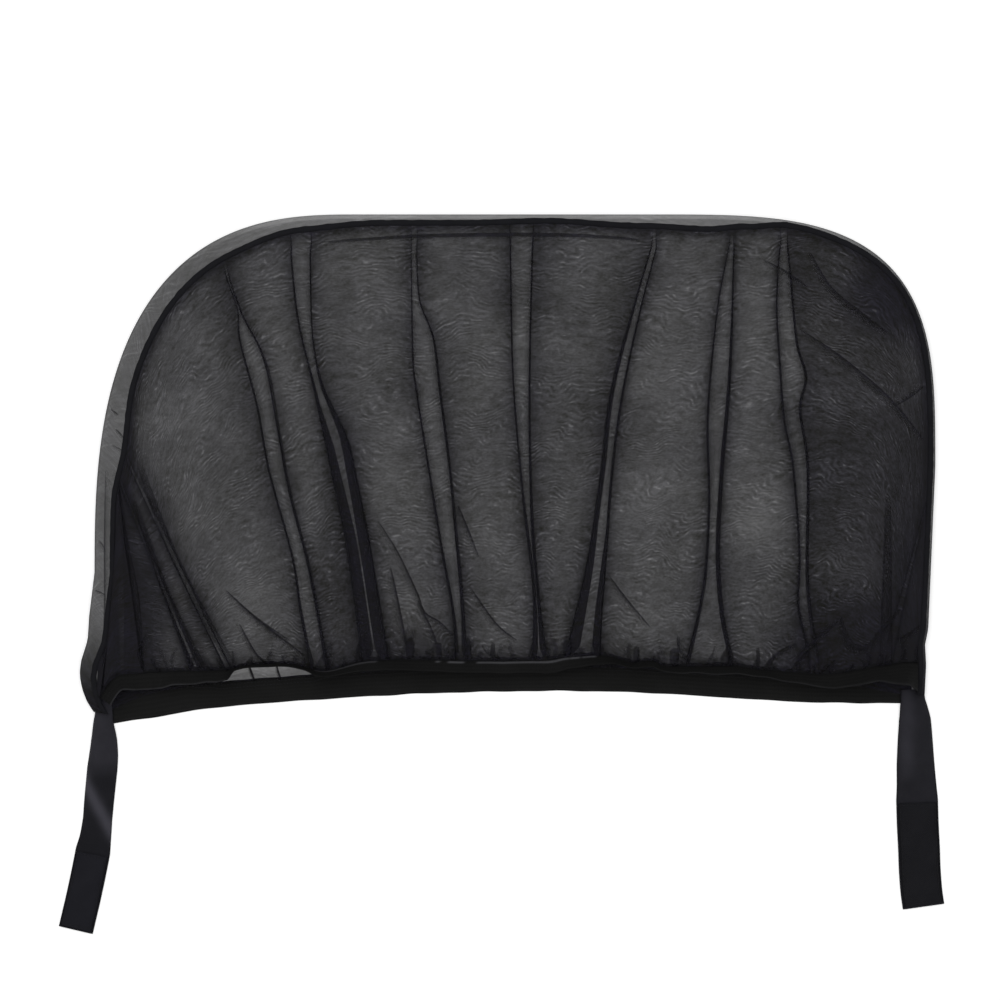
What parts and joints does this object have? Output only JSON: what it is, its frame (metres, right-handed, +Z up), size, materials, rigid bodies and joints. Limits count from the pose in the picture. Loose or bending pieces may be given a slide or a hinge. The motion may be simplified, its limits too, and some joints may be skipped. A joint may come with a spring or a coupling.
{
  "type": "car side window sunshade",
  "caption": "Sock-type rear side window sunshade of gathered black mesh with a bound curved edge, elastic mouth bands and hook-and-loop straps.",
  "frame": {"origin": "on the surface that the shade lies on, below the middle of its bounding box", "axes": "+X across the window, towards the wider strap; +Y from the straps towards the curved top edge; +Z up from the surface, out of the front panel"},
  "size_m": [0.888, 0.719, 0.0234],
  "materials": {
    "mesh": "sheer knitted polyester mesh, matt",
    "binding": "woven binding tape, matt",
    "elastic": "ribbed elastic, matt",
    "webbing": "woven nylon, slight sheen",
    "pad": "hook-and-loop pile, dull"
  },
  "bodies": {
    "root": {"front_mesh_panel": "mesh", "back_mesh_panel": "mesh", "back_panel_edge": "mesh", "edge_binding": "binding", "front_elastic_band": "elastic", "back_elastic_band": "elastic", "left_strap": "webbing", "right_strap": "webbing", "loop_pad": "pad", "hook_pad": "pad"}
  },
  "joints": []
}
